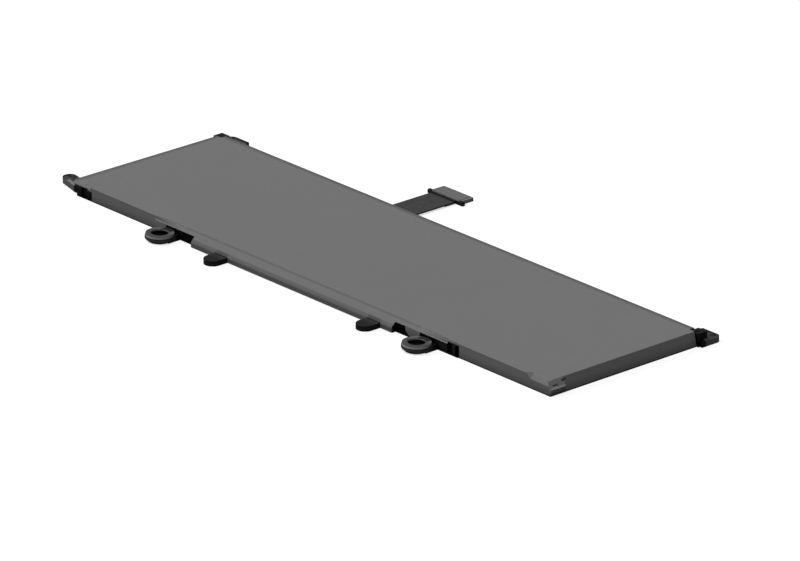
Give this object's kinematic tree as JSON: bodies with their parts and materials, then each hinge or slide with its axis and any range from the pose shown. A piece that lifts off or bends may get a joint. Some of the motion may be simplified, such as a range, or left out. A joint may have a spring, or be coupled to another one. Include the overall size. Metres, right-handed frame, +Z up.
{
  "type": "laptop battery",
  "caption": "Thin rectangular internal battery pack for a laptop: film-covered frame with screw lugs, corner ears and a short flat cable with a plug.",
  "frame": {"origin": "middle of the slab's length and width, on the underside that the pack lies on", "axes": "+X along the pack towards the end without the long front ear, +Y towards the edge that the cable leaves from, +Z up from the underside to the film"},
  "size_m": [0.2968, 0.1269, 0.006],
  "materials": {
    "frame_plastic": "fine moulded texture",
    "top_film": "satin",
    "bottom_film": "satin",
    "bush_plastic": "satin",
    "pouch": "embossed foil",
    "adhesive": "matt tape",
    "aluminium_tab": "satin",
    "nickel": "satin",
    "tape": "polyimide, satin",
    "board": "solder mask",
    "chip": "moulded",
    "ceramic_body": "matt",
    "cable": "satin",
    "stiffener": "satin",
    "plug_plastic": "moulded",
    "plug_shell": "satin",
    "contact_metal": "gold plated"
  },
  "bodies": {
    "root": {"frame": "frame_plastic", "top_film": "top_film", "bottom_film": "bottom_film", "protection_board": "board", "charge_mosfet": "chip", "discharge_mosfet": "chip", "chip_fuse": "ceramic_body", "sense_resistor": "chip", "gauge_chip": "chip", "protector_chip": "chip", "thermistor": "ceramic_body", "screw_bush_left": "bush_plastic", "screw_bush_right": "bush_plastic", "flex_cable": "cable", "cable_stiffener": "stiffener", "connector_housing": "plug_plastic", "connector_shell": "plug_shell", "cell_1": "pouch", "cell_adhesive_1": "adhesive", "positive_tab_1": "aluminium_tab", "negative_tab_1": "nickel", "tab_tape_1": "tape", "cell_2": "pouch", "cell_adhesive_2": "adhesive", "positive_tab_2": "aluminium_tab", "negative_tab_2": "nickel", "tab_tape_2": "tape", "cell_3": "pouch", "cell_adhesive_3": "adhesive", "positive_tab_3": "aluminium_tab", "negative_tab_3": "nickel", "tab_tape_3": "tape", "weld_pad_1": "nickel", "weld_pad_2": "nickel", "weld_pad_3": "nickel", "weld_pad_4": "nickel", "weld_pad_5": "nickel", "weld_pad_6": "nickel", "capacitor_1": "ceramic_body", "capacitor_2": "ceramic_body", "capacitor_3": "ceramic_body", "capacitor_4": "ceramic_body", "connector_contact_1": "contact_metal", "connector_contact_2": "contact_metal", "connector_contact_3": "contact_metal", "connector_contact_4": "contact_metal", "connector_contact_5": "contact_metal", "connector_contact_6": "contact_metal", "connector_contact_7": "contact_metal", "connector_contact_8": "contact_metal"}
  },
  "joints": []
}
